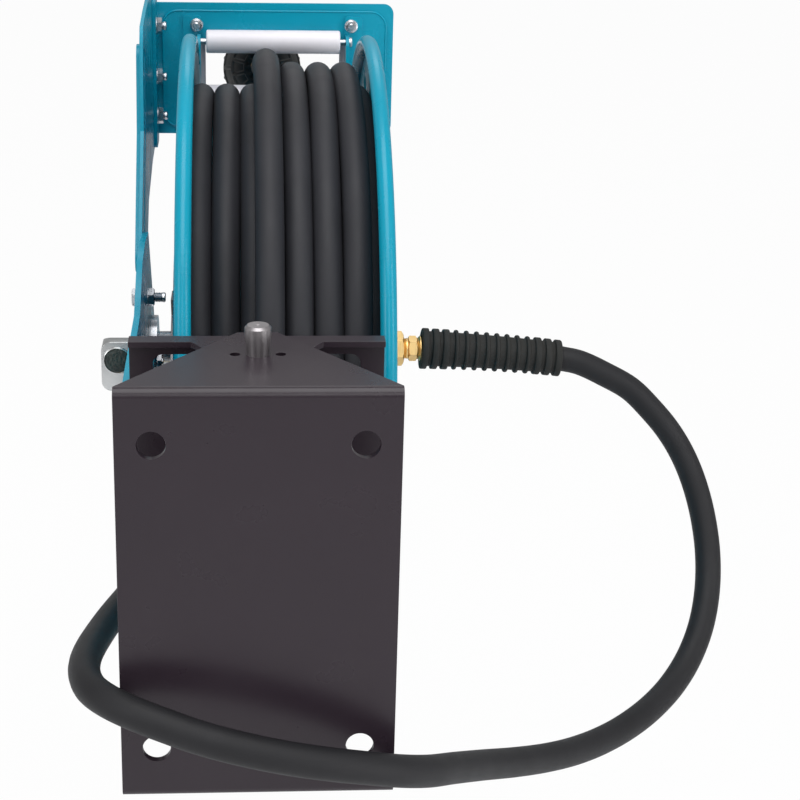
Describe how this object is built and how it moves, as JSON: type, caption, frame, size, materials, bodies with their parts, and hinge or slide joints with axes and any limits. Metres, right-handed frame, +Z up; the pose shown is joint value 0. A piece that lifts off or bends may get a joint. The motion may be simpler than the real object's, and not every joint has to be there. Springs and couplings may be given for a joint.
{
  "type": "air hose reel",
  "caption": "Spring-driven air hose reel on a swivelling wall bracket, with a roller guide, a wound rubber hose and a lead-in hose.",
  "frame": {"origin": "centre of the four wall bolt holes, on the face that meets the wall", "axes": "+Y out of the wall along the bolts, +Z up, +X to the right seen from the wall"},
  "size_m": [0.5165, 0.8879, 0.5305],
  "materials": {
    "bracket_steel": "semi-gloss charcoal powder coat",
    "teal_paint": "gloss teal powder coat",
    "bare_steel": "machined",
    "plated_steel": "bright zinc",
    "nickel": "satin nickel",
    "brass": "machined",
    "bronze": "sintered",
    "roller_plastic": "smooth",
    "black_plastic": "moulded",
    "black_rubber": "satin",
    "hose_rubber": "satin extruded",
    "spring_steel": "blued"
  },
  "bodies": {
    "wall": {"wall_bracket": "bracket_steel", "pivot_pin": "bare_steel", "pivot_cotter": "plated_steel", "pivot_washers": "plated_steel"},
    "frame": {"reel_bracket": "bracket_steel", "pedestal": "teal_paint", "pedestal_bolts": "plated_steel", "guide_arm": "teal_paint", "arm_bolts": "plated_steel", "guide_plate": "teal_paint", "guide_bolts": "plated_steel", "ear_left": "teal_paint", "ear_right": "teal_paint", "yoke_top": "teal_paint", "yoke_bottom": "teal_paint", "guide_nuts": "plated_steel", "roller_axles": "plated_steel", "shaft": "plated_steel", "shaft_bolts": "plated_steel", "shaft_ring": "plated_steel", "spring_arbor": "bare_steel", "swivel_block": "nickel", "port_plug": "black_plastic", "inlet_adapter": "brass", "hose_nut": "brass", "bend_restrictor": "black_rubber", "lead_hose": "hose_rubber", "lead_end_fitting": "brass", "outlet_hose": "hose_rubber", "stopper_halves": "black_plastic", "stopper_screws": "plated_steel", "outlet_end_fitting": "brass", "pawl_pin": "plated_steel", "pawl_spring": "spring_steel"},
    "spool": {"disc_left": "teal_paint", "disc_right": "teal_paint", "drum": "teal_paint", "tie_bolts": "plated_steel", "bearings": "bronze", "hub_tube": "bare_steel", "rotary_seal": "brass", "outlet_elbow": "brass", "spring_case": "bare_steel", "power_spring": "spring_steel", "ratchet_wheel": "bare_steel", "hose_coil": "hose_rubber"},
    "pawl": {"pawl": "bare_steel"},
    "roller_top": {"top_roller": "roller_plastic"},
    "roller_bottom": {"bottom_roller": "roller_plastic"},
    "roller_left": {"left_roller": "roller_plastic"},
    "roller_right": {"right_roller": "roller_plastic"}
  },
  "joints": [
    {"name": "reel_swivel", "type": "hinge", "parent": "wall", "child": "frame", "pos_m": [0, 0.0635, 0], "axis": [0, 0, 1], "range_deg": [-55, 55], "deforming": ["lead_hose"]},
    {"name": "spool_spin", "type": "hinge", "parent": "frame", "child": "spool", "pos_m": [0.0208, 0.421, 0.0195], "axis": [-1, 0, 0], "range_deg": [0, 3960], "deforming": ["power_spring"]},
    {"name": "pawl_swing", "type": "hinge", "parent": "frame", "child": "pawl", "pos_m": [-0.0695, 0.345, -0.045], "axis": [-1, 0, 0], "range_deg": [0, 18]},
    {"name": "top_roller_turn", "type": "hinge", "parent": "frame", "child": "roller_top", "pos_m": [0.0195, 0.634, 0.24115], "axis": [1, 0, 0], "continuous": true},
    {"name": "bottom_roller_turn", "type": "hinge", "parent": "frame", "child": "roller_bottom", "pos_m": [0.0195, 0.634, 0.19085], "axis": [1, 0, 0], "continuous": true},
    {"name": "left_roller_turn", "type": "hinge", "parent": "frame", "child": "roller_left", "pos_m": [-0.053, 0.666, 0.216], "axis": [0, 0, 1], "continuous": true},
    {"name": "right_roller_turn", "type": "hinge", "parent": "frame", "child": "roller_right", "pos_m": [0.092, 0.666, 0.216], "axis": [0, 0, 1], "continuous": true}
  ]
}
